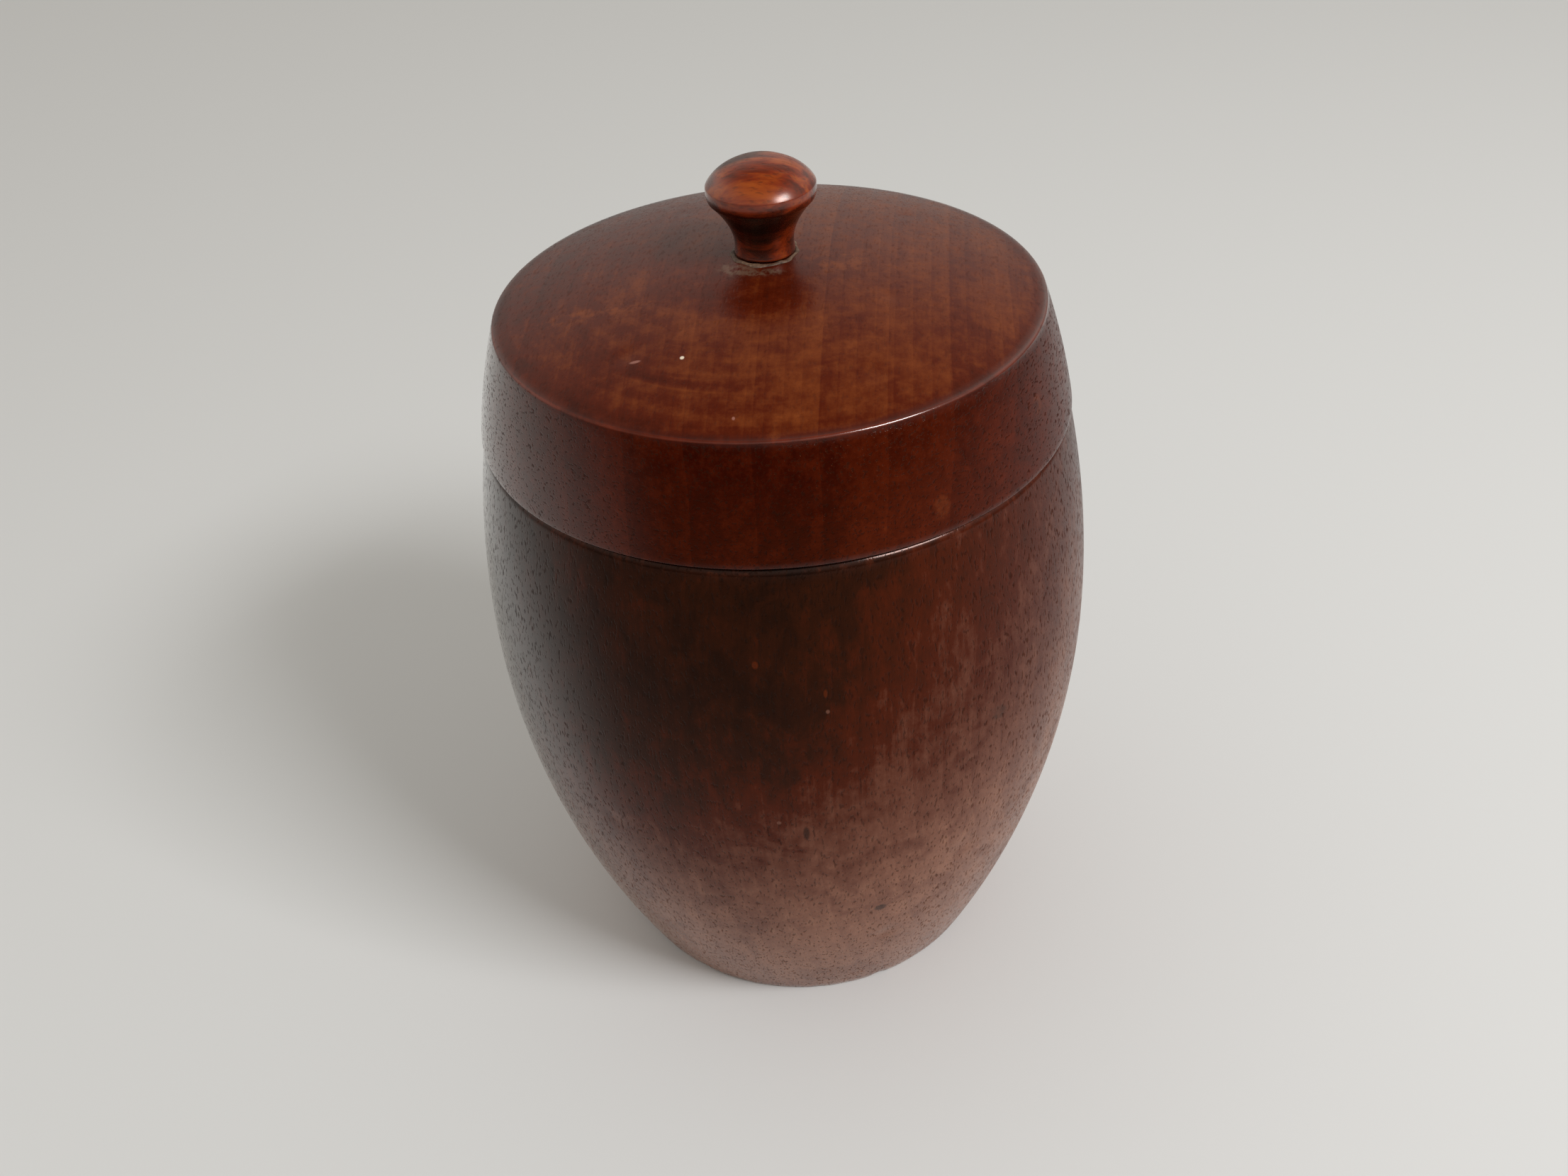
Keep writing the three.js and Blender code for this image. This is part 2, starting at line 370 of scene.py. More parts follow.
def without(tree, value):
    """What a value from 0 to 1 leaves of 1."""
    return maths(tree, "SUBTRACT", 1.0, value)


def weighted(tree, *parts):
    """Sum of values times their weights."""
    total = 0.0
    for value, weight in parts:
        total = maths(tree, "MULTIPLY_ADD", value, weight, total)
    return total


def blended(tree, share, first, second):
    """Two values mixed by a share."""
    return add(tree, "Mix", {0: share, 2: first, 3: second}).outputs[0]


def mixed(tree, share, first, second):
    """Two colours mixed by a share."""
    return add(tree, "Mix", {0: share, 6: first, 7: second}, data_type="RGBA").outputs[2]


def stained(tree, wood, where, strength, colour):
    """The wood's colour with another over it, as strong as strength where a mark is 1."""
    return mixed(tree, product(tree, where, strength), wood, colour)


def shades(tree, tone, stops):
    """Colour for a tone from 0 to 1, along stops of place and colour, from the lowest place up."""
    made = add(tree, "ValToRGB", {0: tone})
    ramp = made.color_ramp
    ramp.elements[0].position = stops[0][0]
    ramp.elements[1].position = stops[-1][0]
    for place, colour in stops[1:-1]:
        ramp.elements.new(place)
    for element, (place, colour) in zip(ramp.elements, stops):
        element.color = colour
    return made.outputs[0]


def mark(tree, name):
    """A value kept on the mesh for the material."""
    return add(tree, "Attribute", attribute_name=name).outputs["Fac"]


def length(tree, vector):
    """How long a vector is."""
    return add(tree, "VectorMath", {0: vector}, operation="LENGTH").outputs["Value"]


def spot(tree, place, centre, size, turn=(0, 0, 0)):
    """1 in the middle of a mark of that size and 0 outside it."""
    return spread(tree, length(tree, sized(tree, place, size, turn, centre)), 1.0, 0.5)


def relief(tree, height, depth):
    """Surface direction over bumps, where a height of 1 stands a depth in metres proud."""
    return add(tree, "Bump", {"Height": height, "Strength": 1.0, "Distance": depth}).outputs[0]


def new_finish(name):
    """A material with its node tree, its object coordinates and its shader."""
    material = bpy.data.materials.new(name)
    material.use_nodes = True
    tree = material.node_tree
    tree.nodes.clear()
    place = add(tree, "TexCoord").outputs["Object"]
    shader = add(tree, "BsdfPrincipled")
    add(tree, "OutputMaterial", {"Surface": shader.outputs[0]})
    return material, tree, place, shader


def growth_rings(tree, place, turn, pith, width):
    """Rings of a width round a pith that runs along the turned Y axis, each sharper on one side."""
    size = (width, width * 9, width)
    return waves(
        tree, sized(tree, place, size, turn, pith), 2.2, 0.35, 0.6,
        wave_type="RINGS", rings_direction="Y", wave_profile="SAW",
    )


def wood_grain(tree, place, turn, pith, ring_width):
    """Solid grain that runs along the turned Y axis, with growth rings about a pith. It gives the
    broad figure, the rings, the fibres and the pores, each from 0 to 1, wherever the lathe cuts it."""
    figure = cloud(tree, place, (0.021, 0.062, 0.034), 3.0, 0.55, 0.5, turn, pith)
    rings = growth_rings(tree, place, turn, pith, ring_width)
    fibres = cloud(tree, place, (0.0007, 0.018, 0.0007), 3.0, 0.6, 0.0, turn, pith)
    pores = cloud(tree, place, (0.0004, 0.0013, 0.0004), 1.0, 0.4, 0.0, turn, pith)
    return figure, rings, fibres, spread(tree, pores, 0.555, 0.715)


pot_turn = (np.radians(90), 0.0, 0.0)
pot_pith = (-0.17, 0.05, 0.0)
pot_ring_width = 0.0034
pot_shades = [
    (0.0, paint(16, 7, 5)),
    (0.25, paint(37, 14, 6)),
    (0.5, paint(68, 22, 7)),
    (0.75, paint(107, 65, 50)),
    (1.0, paint(144, 99, 79)),
]
bare_shades = [(0.3, paint(62, 36, 24)), (0.95, paint(124, 78, 50))]
pot_finish, tree, place, shader = new_finish("pot_wood")
x, y, z = add(tree, "SeparateXYZ", {0: place}).outputs
edge = mark(tree, "edge")
unpolished = largest(tree, mark(tree, "inside"), mark(tree, "under"))
figure, rings, fibres, pores = wood_grain(tree, place, pot_turn, pot_pith, pot_ring_width)
grime = spread(tree, cloud(tree, place, (0.0021, 0.0021, 0.0034), 4.0, 0.7), 0.35, 0.75)
mottle = spread(tree, cloud(tree, place, (0.005, 0.005, 0.008), 4.0, 0.65, 0.6), 0.3, 0.7)

# The wood is darkest at the upper left of the front, partly its own dark figure and partly painted
# shade, and is paler towards the foot and the lower right.
sway = cloud(tree, place, (0.014, 0.014, 0.03), 3.0, 0.6)
across = weighted(tree, (x, 1.0), (z, -0.26), (sway, 0.018), (1.0, 0.02))
dark_figure_and_shade = product(
    tree,
    spread(tree, across, 0.024, -0.002),
    spread(tree, y, 0.035, -0.02),
    spread(tree, weighted(tree, (z, 1.0), (sway, 0.02)), 0.045, 0.11),
    spread(tree, mottle, 0.0, 1.0, 1.08, 0.66),
)
low = spread(tree, weighted(tree, (z, 1.0), (x, -0.42), (sway, 0.018)), 0.113, 0.022)
stains = spread(tree, cloud(tree, place, (0.011, 0.011, 0.009), 4.0, 0.62, 0.9), 0.5, 0.66)
stains_low = product(tree, stains, spread(tree, z, 0.1, 0.06))
blotch = largest(
    tree,
    spot(tree, place, (0.0107, -0.0537, 0.0652), (0.0042, 0.006, 0.003)),
    spot(tree, place, (0.0177, -0.0505, 0.0532), (0.005, 0.006, 0.003)),
)
tone = weighted(
    tree,
    (figure, 0.26),
    (mottle, 0.09),
    (rings, 0.05),
    (product(tree, fibres, spread(tree, low, 0.0, 0.7, 1.0, 0.4)), 0.24),
    (grime, 0.11),
    (low, 0.58),
    (dark_figure_and_shade, -0.34),
    (stains_low, -0.09),
    (blotch, -0.08),
    (1.0, 0.08),
)
wood = shades(tree, tone, pot_shades)

# Pores are filled dark, edges are rubbed, and a few flecks, specks and knocks show.
wood = stained(tree, wood, pores, 0.45, paint(14, 8, 6))
rubbed = product(tree, edge, spread(tree, grime, 0.2, 0.8))
wood = stained(tree, wood, rubbed, 0.3, paint(116, 54, 32))
orange_fleck = largest(
    tree,
    spot(tree, place, (-0.0059, -0.053, 0.0985), (0.0006, 0.004, 0.0009)),
    spot(tree, place, (0.0046, -0.054, 0.0925), (0.0004, 0.004, 0.001)),
)
wood = stained(tree, wood, orange_fleck, 0.36, paint(112, 44, 14))
pale_speck = largest(
    tree,
    spot(tree, place, (0.0048, -0.0541, 0.089), (0.0004, 0.002, 0.0005)),
    spot(tree, place, (-0.0042, -0.0546, 0.0654), (0.0005, 0.002, 0.0005)),
)
wood = stained(tree, wood, pale_speck, 0.5, paint(128, 88, 74))
black_streak = spot(tree, place, (0.0002, -0.0545, 0.0624), (0.0007, 0.004, 0.0022))
dent_dirt = spot(tree, place, (0.0126, -0.0485, 0.0354), (0.0015, 0.004, 0.0012))
side_knock = spot(tree, place, (0.0334, -0.0436, 0.0767), (0.0024, 0.003, 0.0018), (0, 0.6, 0))
dirt = largest(tree, black_streak, dent_dirt, product(tree, side_knock, grime))
wood = stained(tree, wood, dirt, 0.7, paint(20, 12, 9))

# The inside, the collar and the underside are bare wood with faint lathe rings.
lathe_rings = waves(
    tree, sized(tree, place, (0.03, 0.03, 0.0012)), 1.6, 0.5, 0.5,
    wave_type="BANDS", bands_direction="Z",
)
bare = shades(tree, weighted(
    tree,
    (figure, 0.42),
    (mottle, 0.2),
    (grime, 0.22),
    (fibres, 0.3),
    (rings, 0.1),
    (lathe_rings, 0.04),
), bare_shades)

# Polish is duller to the right and lies thickest on the left and on the edges. Bumps fade out on
# the edges, which hands have rubbed smooth.
polish_waviness = 0.007
pot_relief = 0.00005
polish = weighted(
    tree,
    (grime, 0.08),
    (pores, 0.4),
    (stains_low, 0.05),
    (spread(tree, x, 0.0, 0.045), 0.14),
    (edge, -0.05),
    (1.0, 0.11),
)
wax = cloud(tree, place, polish_waviness, 2.0, 0.5)
inner_rings = product(tree, lathe_rings, unpolished)
height = weighted(tree, (pores, -0.6), (fibres, 0.2), (wax, 0.6), (inner_rings, 0.35))
bumps = relief(tree, product(tree, height, spread(tree, edge, 0.0, 0.8, 1.0, 0.15)), pot_relief)
side_polish = spread(tree, x, -0.026, -0.052, 0.0, 0.95)
side_polish = product(tree, side_polish, spread(tree, z, 0.03, 0.1, 0.4, 1.0))
edge_polish = product(tree, edge, spread(tree, x, -0.02, 0.01, 0.3, 0.6))
bare_or_pore = largest(tree, unpolished, product(tree, pores, 0.6))
thick_polish = product(tree, largest(tree, side_polish, edge_polish), without(tree, bare_or_pore))
connect(tree, shader, {
    "Base Color": mixed(tree, unpolished, wood, bare),
    "Roughness": blended(tree, unpolished, polish, 0.68),
    "Normal": bumps,
    "Specular IOR Level": 0.18,
    "Specular Tint": (1.0, 0.32, 0.14, 1.0),
    "Coat Weight": thick_polish,
    "Coat Normal": bumps,
    "Coat Roughness": 0.15,
})
pot.data.materials.append(pot_finish)
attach(pot, "pot")
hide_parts("pot")

# Lid
# Turned from the same wood: a crowned side, a low dome, a rebate that fits over the collar and a
# dished ceiling. A blind hole in its middle takes the knob's tenon.
lid_seat = shoulder_height + 0.3
lid_side = 18.8
lid_radius = 50.8
lid_taper = 5.0
lid_swell = 0.4
lid_wood_thickness = 9.0
lid_rim_drop = 0.2
dome_rise = 7.8
rebate_radius = collar_radius + 0.3
rebate_depth = 8.2
ledge_width = 4.0
ceiling_cove = 2.0
socket_radius = 3.7
socket_depth = 6.5
crisp_edge = 0.4
lid_foot_edge = 0.25
arris_edge = 0.6
arris_radius = lid_radius - lid_taper
lid_top = lid_side + dome_rise


def dome_height(r):
    """Height of the domed top above the lid's lower edge: it falls with the square of the radius."""
    return lid_side + dome_rise * (1 - (r / arris_radius) ** 2)


lid_up = np.linspace(2 * crisp_edge / lid_side, 1 - 2 * crisp_edge / lid_side, 30)
lid_crown = lid_swell * 4 * lid_up * (1 - lid_up)
lid_flank = np.stack([lid_radius - lid_taper * lid_up + lid_crown, lid_side * lid_up], -1)
lid_dome_r = np.linspace(arris_radius - 2 * crisp_edge, socket_radius, 52)
lid_dome = np.stack([lid_dome_r, dome_height(lid_dome_r)], -1)
ledge_inner = (rebate_radius - ledge_width, rebate_depth)
ceiling_r = np.linspace(0, ledge_inner[0] - 2 * ceiling_cove, 16)
lid_ceiling = np.stack([ceiling_r, dome_height(ceiling_r) - lid_wood_thickness], -1)
ceiling_corner = (ledge_inner[0], dome_height(ledge_inner[0]) - lid_wood_thickness)
ceiling_edge = min(ceiling_cove, 0.8 * (ceiling_corner[1] - rebate_depth))
rebate_corner = (rebate_radius, rebate_depth)
lid_rim_inner = (rebate_radius, -lid_rim_drop)
lid_rim_outer = (lid_radius, -lid_rim_drop)
lid_arris = (arris_radius, lid_side)
socket_floor = lid_top - socket_depth
lid_outline = joined(
    lid_ceiling,
    rounded(lid_ceiling[-1], ceiling_corner, ledge_inner, ceiling_edge, 6),
    straight(ledge_inner, (rebate_radius - inner_corner, rebate_depth), 4),
    rounded(ledge_inner, rebate_corner, lid_rim_inner, inner_corner, 4),
    rounded(rebate_corner, lid_rim_inner, lid_rim_outer, crisp_edge, 5),
    rounded(lid_rim_inner, lid_rim_outer, lid_flank[0], lid_foot_edge, 7),
    lid_flank,
    rounded(lid_flank[-1], lid_arris, lid_dome[0], arris_edge, 9),
    lid_dome,
    straight((socket_radius, socket_floor + 1), (socket_radius, socket_floor), 2),
    [(0, socket_floor)],
) + (0, lid_seat)

# Chips on the lower edge, wear on the arris and old knocks press the lid in, but not under the knob.
lid_segments = 480
lid_foot_corner = (lid_radius, lid_seat - lid_rim_drop)
lid_arris_corner = (arris_radius, lid_seat + lid_side)
rim_chips = wander(lid_segments, seed=21, slowest=11, fastest=90) ** 7
arris_chips = wander(lid_segments, seed=22, slowest=8, fastest=70) ** 5
lid_foot_wear = worn_edge(lid_outline, lid_foot_corner, width=0.6, depth=0.04, ragged=rim_chips)
lid_arris_wear = worn_edge(lid_outline, lid_arris_corner, width=0.7, depth=0.02, ragged=arris_chips)
lid_knocks = dents(lid_outline, lid_segments, [
    (-132, 33, 137.1, 3.5, 0.14),
    (-66, 36, 136.2, 4.0, 0.10),
    (-38, 24, 138.3, 3.0, 0.09),
    (-84, 49.6, 124, 3.0, 0.12),
    (35, 30, 137.3, 4.5, 0.12),
    (120, 27, 137.8, 4.0, 0.10),
    (168, 48.9, 126, 3.5, 0.14),
])
lid_still_radius = 5.5
lid_pressed = (lid_foot_wear + lid_arris_wear + lid_knocks) * (lid_outline[:, 0] > lid_still_radius)
lid_foot_tip = np.argmin(np.hypot(*(lid_outline - (lid_radius - 1, lid_seat)).T))
lid_foot_shine = 0.4 * near(lid_outline, lid_foot_corner, 0.5)
lid_marks = {
    "inside": np.arange(len(lid_outline)) < lid_foot_tip,
    "edge": np.maximum(lid_foot_shine, near(lid_outline, lid_arris_corner, 0.7)),
}
lid = turned_piece("turned_lid", lid_outline, lid_segments, lid_pressed, lid_marks)


def ring_line(tree, radius, middle, outer, inner):
    """1 within inner of a circle round the axis, and 0 further than outer from it."""
    away = maths(tree, "ABSOLUTE", maths(tree, "SUBTRACT", radius, middle))
    return spread(tree, away, outer, inner)


lid_turn = (0.0, 0.0, np.radians(-7))
lid_pith = (-0.19, 0.0, 0.125)
lid_ring_width = 0.0027
lid_band_width = 0.0095
lid_shades = [
    (0.0, paint(16, 6, 4)),
    (0.25, paint(48, 8, 2)),
    (0.5, paint(78, 23, 6)),
    (0.75, paint(112, 52, 20)),
    (1.0, paint(146, 78, 38)),
]
lid_finish, tree, place, shader = new_finish("lid_wood")
x, y, z = add(tree, "SeparateXYZ", {0: place}).outputs
edge = mark(tree, "edge")
unpolished = mark(tree, "inside")
upward = spread(tree, z, 0.1332, 0.1342)
figure, rings, fibres, pores = wood_grain(tree, place, lid_turn, lid_pith, lid_ring_width)
bands = growth_rings(tree, place, lid_turn, lid_pith, lid_band_width)
pores = product(tree, pores, spread(tree, upward, 0.0, 1.0, 1.0, 0.3))
grime = spread(tree, cloud(tree, place, 0.0024, 4.0, 0.7), 0.35, 0.75)
blotches = cloud(tree, place, (0.012, 0.012, 0.02), 3.0, 0.6, 1.2, (0, 0, 0.4))
blotches = spread(tree, blotches, 0.36, 0.68)

# Turning marks run round the dome: noise drawn out along circles about the axis.
marks_in_a_metre = 430.0
marks_in_a_turn = 1.6
off_axis = add(tree, "VectorMath", {0: place, 1: (1.0, 1.0, 0.0)}, operation="MULTIPLY").outputs[0]
heading = add(tree, "VectorMath", {0: off_axis}, operation="NORMALIZE").outputs[0]
radius = length(tree, off_axis)
round_axis = add(tree, "VectorMath", {
    0: heading,
    1: (marks_in_a_turn, marks_in_a_turn, 0.0),
}, operation="MULTIPLY").outputs[0]
outwards = add(tree, "CombineXYZ", {2: product(tree, radius, marks_in_a_metre)}).outputs[0]
swirl = add(tree, "VectorMath", {0: round_axis, 1: outwards}, operation="ADD").outputs[0]
tool_marks = spread(tree, cloud(tree, swirl, 1.0, 4.0, 0.6, 0.4), 0.3, 0.7)
turned_side = spread(tree, weighted(tree, (x, 1.0), (y, 0.8)), 0.012, -0.03, 0.1, 1.0)
turned_side = product(tree, turned_side, upward)

# The dome is paler than the side, and both have darker and lighter places, scuffs and scratches.
# The dome is darker round the knob's foot.
dark_round_knob = spot(tree, place, (-0.003, -0.008, 0.141), (0.017, 0.017, 0.02))
rim_red = product(tree, spread(tree, radius, 0.0415, 0.0452), upward)
dark_side = product(tree, spread(tree, x, 0.01, -0.03), upward)
dark_band = spot(tree, place, (0.0045, -0.0485, 0.1235), (0.0065, 0.008, 0.017))
dark_front = spot(tree, place, (-0.011, -0.049, 0.124), (0.019, 0.016, 0.016))
dark_patch = spot(tree, place, (0.0126, -0.023, 0.1389), (0.005, 0.004, 0.01))
light_patch = spot(tree, place, (0.0112, -0.0046, 0.141), (0.006, 0.0045, 0.01))
light_streak = spot(tree, place, (-0.029, -0.0112, 0.1375), (0.015, 0.0022, 0.01), (0, 0, -0.12))
scuffed = spot(tree, place, (-0.013, -0.033, 0.136), (0.014, 0.01, 0.01), (0, 0, -0.4))
dark_arc = ring_line(tree, radius, 0.0356, 0.0012, 0.0003)
scratch = ring_line(tree, radius, 0.0369, 0.0003, 0.0001)
tone = weighted(
    tree,
    (figure, 0.24),
    (bands, 0.07),
    (product(tree, rings, upward), 0.05),
    (product(tree, fibres, spread(tree, upward, 0.0, 1.0, 1.0, 0.75)), 0.22),
    (product(tree, tool_marks, turned_side), 0.1),
    (product(tree, scuffed, dark_arc), -0.12),
    (product(tree, scuffed, scratch), 0.05),
    (product(tree, light_streak, grime), 0.15),
    (product(tree, light_patch, grime), 0.16),
    (dark_patch, -0.07),
    (rim_red, -0.12),
    (product(tree, blotches, spread(tree, upward, 0.0, 1.0, 0.4)), 0.08),
    (grime, 0.14),
    (upward, 0.2),
    (dark_side, -0.13),
    (dark_band, -0.08),
    (product(tree, dark_front, without(tree, upward)), -0.09),
    (dark_round_knob, -0.14),
    (1.0, 0.036),
)
wood = shades(tree, tone, lid_shades)

# Pores are filled dark, the arris is rubbed red in places, and a film of glue lies by the knob.
wood = stained(tree, wood, pores, 0.5, paint(16, 8, 6))
rubbed = product(tree, spread(tree, edge, 0.72, 0.98), spread(tree, blotches, 0.0, 1.0, 0.15, 0.42))
wood = mixed(tree, rubbed, wood, paint(128, 44, 16))
warm_fleck = largest(
    tree,
    spot(tree, place, (0.0236, -0.0442, 0.1191), (0.0018, 0.003, 0.0024)),
    spot(tree, place, (0.0406, -0.0267, 0.1252), (0.0018, 0.0018, 0.0022)),
)
wood = stained(tree, wood, product(tree, warm_fleck, grime), 0.3, paint(128, 66, 34))
glue_film = largest(
    tree,
    spot(tree, place, (-0.0046, -0.006, 0.1413), (0.0045, 0.0026, 0.006), (0, 0, -0.6)),
    spot(tree, place, (-0.0006, -0.0076, 0.1413), (0.0042, 0.0016, 0.006)),
)
flakes = spread(tree, cloud(tree, place, 0.0011, 3.0, 0.6), 0.4, 0.62)
wood = stained(tree, wood, product(tree, glue_film, flakes), 0.42, paint(116, 98, 80))
white_speck = spot(tree, place, (-0.0135, -0.0275, 0.138), (0.00042, 0.00045, 0.002))
wood = mixed(tree, white_speck, wood, paint(228, 212, 190))
pale_dash = largest(
    tree,
    spot(tree, place, (-0.0207, -0.0265, 0.1373), (0.0011, 0.0004, 0.002)),
    spot(tree, place, (-0.0062, -0.0411, 0.1351), (0.0003, 0.0004, 0.002)),
)
wood = stained(tree, wood, pale_dash, 0.7, paint(158, 108, 96))

# The rebate and the ceiling are bare wood.
bare = shades(tree, weighted(
    tree,
    (figure, 0.42),
    (blotches, 0.12),
    (grime, 0.24),
    (fibres, 0.32),
    (bands, 0.12),
), bare_shades)

# Polish is duller on the dome and to the right, and lies thickest on the left and on the arris.
lid_relief = 0.00005
dull = largest(tree, spread(tree, x, 0.0, 0.045), upward)
polish = weighted(tree, (grime, 0.08), (pores, 0.4), (dull, 0.14), (edge, -0.05), (1.0, 0.11))
wax = cloud(tree, place, polish_waviness, 2.0, 0.5)
height = weighted(tree, (pores, -0.6), (fibres, 0.2), (wax, 0.6))
bumps = relief(tree, product(tree, height, spread(tree, edge, 0.0, 0.8, 1.0, 0.15)), lid_relief)
on_side = without(tree, largest(tree, upward, unpolished))
side_polish = product(tree, spread(tree, x, -0.016, -0.044, 0.0, 1.0), on_side)
side_polish = product(tree, side_polish, spread(tree, pores, 0.0, 1.0, 1.0, 0.4))
edge_polish = product(tree, edge, spread(tree, x, -0.02, 0.01, 0.25, 1.0))
connect(tree, shader, {
    "Base Color": mixed(tree, unpolished, wood, bare),
    "Roughness": blended(tree, unpolished, polish, 0.66),
    "Normal": bumps,
    "Specular IOR Level": 0.18,
    "Specular Tint": (1.0, 0.3, 0.12, 1.0),
    "Coat Weight": largest(tree, side_polish, edge_polish),
    "Coat Normal": bumps,
    "Coat Roughness": 0.15,
    "Coat IOR": 1.65,
})
lid.data.materials.append(lid_finish)
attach(lid, "lid")
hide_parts("lid")

# Knob
# A small mushroom turned from redder wood and handled to a gloss: a straight foot, a long cove and
# a rounded head. The tenon under it is glued into the lid.
knob_seat = lid_seat + lid_top + 0.3
knob_height = 15.5
head_radius = 8.9
widest_height = 10.4
band_fullness = 2.3
dome_edge_radius = 8.85
dome_edge_height = 11.3
dome_centre_drop = 2.7
band_foot_radius = 8.6
band_foot_height = 9.0
neck_radius = 4.85
neck_height = 1.6
knob_foot_radius = 5.0
cove_sweep = 1.85
knob_edge = 0.3
tenon_radius = 3.4
tenon_length = 6.5
tenon_chamfer = 0.6
tenon_shoulder = 0.35

foot_share = np.linspace(0, 1, 7)
knob_foot = np.stack([
    knob_foot_radius + (neck_radius - knob_foot_radius) * np.sin(np.pi / 2 * foot_share),
    neck_height * foot_share,
], -1)
cove_share = np.linspace(0, 1, 36)
knob_cove = np.stack([
    neck_radius + (band_foot_radius - neck_radius) * cove_share**cove_sweep,
    neck_height + (band_foot_height - neck_height) * cove_share,
], -1)
band_z = np.linspace(band_foot_height, dome_edge_height, 22)[1:-1]
below_widest = band_z < widest_height
band_reach = np.where(below_widest, widest_height - band_foot_height, dome_edge_height - widest_height)
band_fall = np.where(below_widest, head_radius - band_foot_radius, head_radius - dome_edge_radius)
knob_band = np.stack([
    head_radius - band_fall * (np.abs(band_z - widest_height) / band_reach) ** band_fullness,
    band_z,
], -1)
dome_centre = dome_edge_height - dome_centre_drop
dome_semi_height = knob_height - dome_centre
dome_start = np.arcsin(dome_centre_drop / dome_semi_height)
dome_semi_width = dome_edge_radius / np.cos(dome_start)
head_angle = np.linspace(dome_start, np.pi / 2, 36)
knob_head = np.stack([
    dome_semi_width * np.cos(head_angle),
    dome_centre + dome_semi_height * np.sin(head_angle),
], -1)
tenon_tip = (tenon_radius - tenon_chamfer, -tenon_length)
tenon_low = (tenon_radius, tenon_chamfer - tenon_length)
tenon_high = (tenon_radius, -tenon_shoulder)
knob_outline = joined(
    straight((0, -tenon_length), tenon_tip, 2),
    straight(tenon_low, tenon_high, 6),
    knob_foot,
    knob_cove,
    knob_band,
    rounded(knob_band[-3], knob_head[0], knob_head[1], knob_edge, 5),
    knob_head[1:],
) + (0, knob_seat)

# Handling has left the knob a little uneven round its axis.
knob_segments = 192
knob_unevenness = 0.05
knob_still_radius = 4.5
knob_uneven = knob_unevenness * wander(knob_segments, seed=31, slowest=2, fastest=5)[:, None]
knob_pressed = knob_uneven * (knob_outline[:, 0] > knob_still_radius)

# Painted shade in the cove: it starts on the band, is strongest under the head and fades down.
shade_above_band = 2.4
shade_ramp = 2.6
shade_strongest = 1.35
shade_fade = 8.0
shade_least = 0.3
below_band = knob_seat + band_foot_height - knob_outline[:, 1]
under_head = np.clip((below_band + shade_above_band) / shade_ramp, 0, 1)
down_neck = np.clip(shade_strongest - below_band / shade_fade, shade_least, 1)
knob_marks = {"cove": under_head * down_neck}
knob = turned_piece("turned_knob", knob_outline, knob_segments, knob_pressed, knob_marks)

knob_turn = (0.0, 0.0, np.radians(82))
knob_pith = (0.01, 0.06, 0.12)
knob_ring_width = 0.0016
knob_relief = 0.00004
knob_black = paint(14, 6, 4)
knob_shades = [
    (0.0, knob_black),
    (0.28, paint(54, 15, 5)),
    (0.55, paint(116, 38, 10)),
    (1.0, paint(168, 82, 24)),
]
knob_finish, tree, place, shader = new_finish("knob_wood")
x, y, z = add(tree, "SeparateXYZ", {0: place}).outputs
figure, rings, fibres, pores = wood_grain(tree, place, knob_turn, knob_pith, knob_ring_width)
streaks = cloud(tree, place, (0.0024, 0.011, 0.0024), 4.0, 0.55, 0.4, knob_turn)
# The cove's painted shade is weaker on the right, towards the light, and strongest on the left.
cove_shade = product(tree, mark(tree, "cove"), spread(tree, x, 0.0045, -0.001, 0.6, 1.0))
tone = weighted(
    tree,
    (spread(tree, streaks, 0.3, 0.7), 0.42),
    (rings, 0.04),
    (fibres, 0.22),
    (figure, 0.25),
    (cove_shade, -0.5),
    (1.0, 0.14),
)
wood = shades(tree, tone, knob_shades)
# A grey patch at the top left back of the head is a painted reflection, on a spot that is also duller.
worn_spot_and_reflection = spot(tree, place, (-0.004, 0.0032, 0.1565), (0.0068, 0.0048, 0.005))
wood = stained(tree, wood, worn_spot_and_reflection, 0.8, paint(52, 44, 40))
wood = stained(tree, wood, pores, 0.35, knob_black)
handled = cloud(tree, place, 0.003, 3.0, 0.6)
height = weighted(tree, (pores, -0.3), (fibres, 0.15), (handled, 0.5))
rim_polish = spread(tree, z, 0.1562, 0.1542, 0.15, 0.9)
rim_polish = product(tree, rim_polish, spread(tree, cove_shade, 0.5, 1.0, 1.0, 0.2))
connect(tree, shader, {
    "Base Color": wood,
    "Roughness": weighted(tree, (handled, 0.08), (pores, 0.1), (worn_spot_and_reflection, 0.15), (1.0, 0.2)),
    "Normal": relief(tree, height, knob_relief),
    "Specular IOR Level": 0.25,
    "Specular Tint": (1.0, 0.35, 0.15, 1.0),
    "Coat Weight": rim_polish,
    "Coat Roughness": 0.24,
})
knob.data.materials.append(knob_finish)
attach(knob, "lid")
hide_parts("knob")

# Glue bead
# Old glue and wax pressed out round the knob's foot when it was stuck in. It dried as a pale,
# broken ring that lies against the foot and on the dome.
bead_turns = 240
bead_steps = 20
bead_least_width = 0.45
bead_extra_width = 0.6
bead_lobe_width = 0.3
bead_lobe_angle = 245
bead_lobe_spread = 38
bead_least_rise = 0.15
bead_extra_rise = 0.3
bead_unevenness = 1.3
bead_under = 0.1
bead_overlap = 0.12
bead_sink = 0.04
bead_angle = circle_of(bead_turns)[:, None]
bead_round = circle_of(bead_steps)[None]

